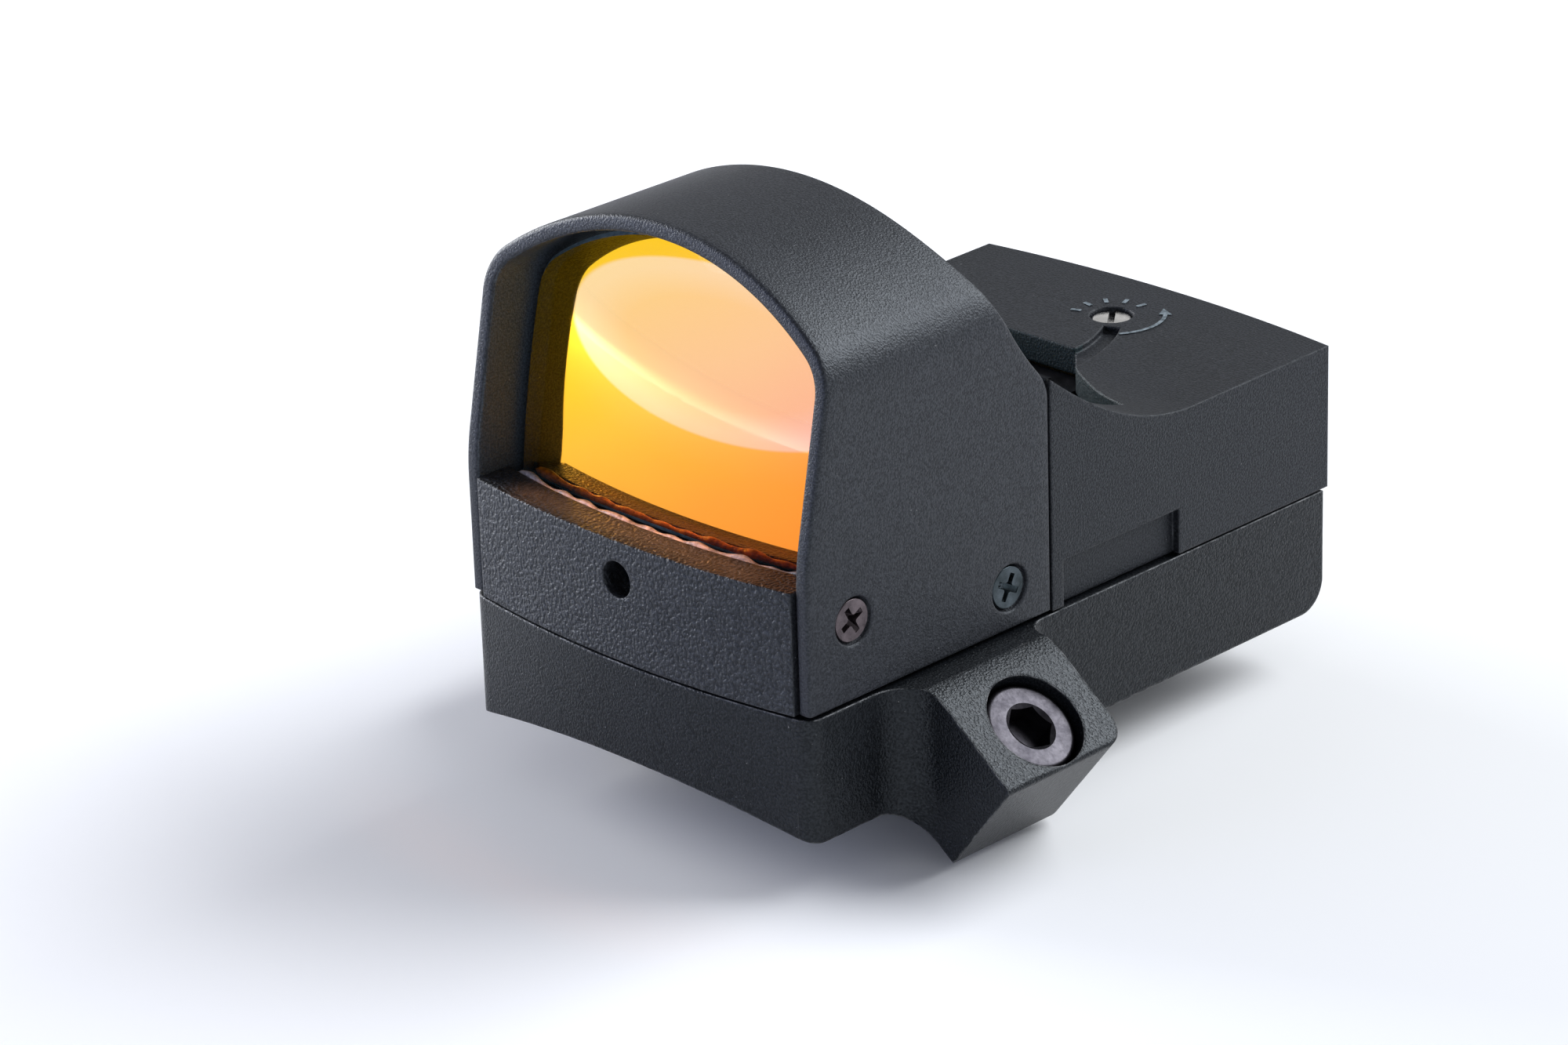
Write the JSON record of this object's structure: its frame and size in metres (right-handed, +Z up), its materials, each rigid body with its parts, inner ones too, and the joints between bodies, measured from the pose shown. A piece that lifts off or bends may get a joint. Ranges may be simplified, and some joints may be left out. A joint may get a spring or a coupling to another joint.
{
  "type": "open reflex red dot finder",
  "caption": "Open reflex red dot finder: hooded collimating lens, LED emitter moved by two slotted screws, coin cell in a low housing, saddle clamped by two inclined socket screws.",
  "frame": {"origin": "crest of the saddle's shallow channel on the middle plane, level with the axes of the two clamp screws", "axes": "+Z up, away from the optic; -Y towards the target, through the lens; +X to the right seen from the front"},
  "size_m": [0.0422, 0.0457, 0.0353],
  "materials": {
    "saddle_black": "satin black anodised, fine grain",
    "cast_black": "satin black, coarse die-cast grain",
    "hood_black": "satin black powder coat, fine grain",
    "dark_steel": "turned, darkened",
    "bright_steel": "turned, bright",
    "coated_glass": "polished, amber reflective coating",
    "sealant": "glossy bead",
    "brass": "machined",
    "board_green": "solder mask",
    "seal_rubber": "matt",
    "black_plastic": "moulded",
    "clear_plastic": "clear epoxy"
  },
  "bodies": {
    "sight": {"saddle_base": "saddle_black", "clamp_screw_left": "dark_steel", "clamp_screw_right": "dark_steel", "housing": "cast_black", "hood": "hood_black", "hood_screw_front_left": "dark_steel", "hood_screw_front_right": "dark_steel", "hood_screw_rear_left": "dark_steel", "hood_screw_rear_right": "dark_steel", "lens_front_element": "coated_glass", "lens_rear_element": "coated_glass", "lens_sealant": "sealant", "base_screw_left": "dark_steel", "base_screw_right": "dark_steel", "locating_pin_left": "bright_steel", "locating_pin_right": "bright_steel", "battery": "bright_steel", "battery_contact": "brass", "battery_pad": "black_plastic", "battery_seal": "seal_rubber", "main_board": "board_green", "board_screw_left": "dark_steel", "board_screw_right": "dark_steel", "light_sensor": "clear_plastic", "elevation_spring": "bright_steel"},
    "elevation_adjuster": {"elevation_screw": "bright_steel", "elevation_clip": "bright_steel"},
    "elevation_carriage": {"elevation_block": "brass"},
    "windage_adjuster": {"windage_screw": "bright_steel", "windage_clip": "bright_steel"},
    "windage_carriage": {"windage_nut": "brass"},
    "emitter_carriage": {"emitter_block": "black_plastic", "emitter_led": "clear_plastic"}
  },
  "joints": [
    {"name": "elevation_turn", "type": "hinge", "parent": "sight", "child": "elevation_adjuster", "pos_m": [0.0004, 0.02697, 0.0141], "axis": [0, 0, 1], "range_deg": [-360, 360]},
    {"name": "elevation_travel", "type": "slide", "parent": "sight", "child": "elevation_carriage", "axis": [0, 0, 1], "range_m": [-0.0004, 0.0004], "deforming": ["elevation_spring"]},
    {"name": "windage_turn", "type": "hinge", "parent": "sight", "child": "windage_adjuster", "pos_m": [-0.0135, 0.02007, 0.0117], "axis": [1, 0, 0], "range_deg": [-360, 360]},
    {"name": "windage_nut_travel", "type": "slide", "parent": "sight", "child": "windage_carriage", "axis": [1, 0, 0], "range_m": [-0.0004, 0.0004]},
    {"name": "windage_travel", "type": "slide", "parent": "elevation_carriage", "child": "emitter_carriage", "axis": [1, 0, 0], "range_m": [-0.0004, 0.0004]}
  ],
  "couplings": [
    {"joint": "elevation_turn", "follows": "elevation_travel", "rad_per_m": -15707},
    {"joint": "windage_turn", "follows": "windage_nut_travel", "rad_per_m": -15707},
    {"joint": "windage_travel", "follows": "windage_nut_travel", "ratio": 1}
  ]
}
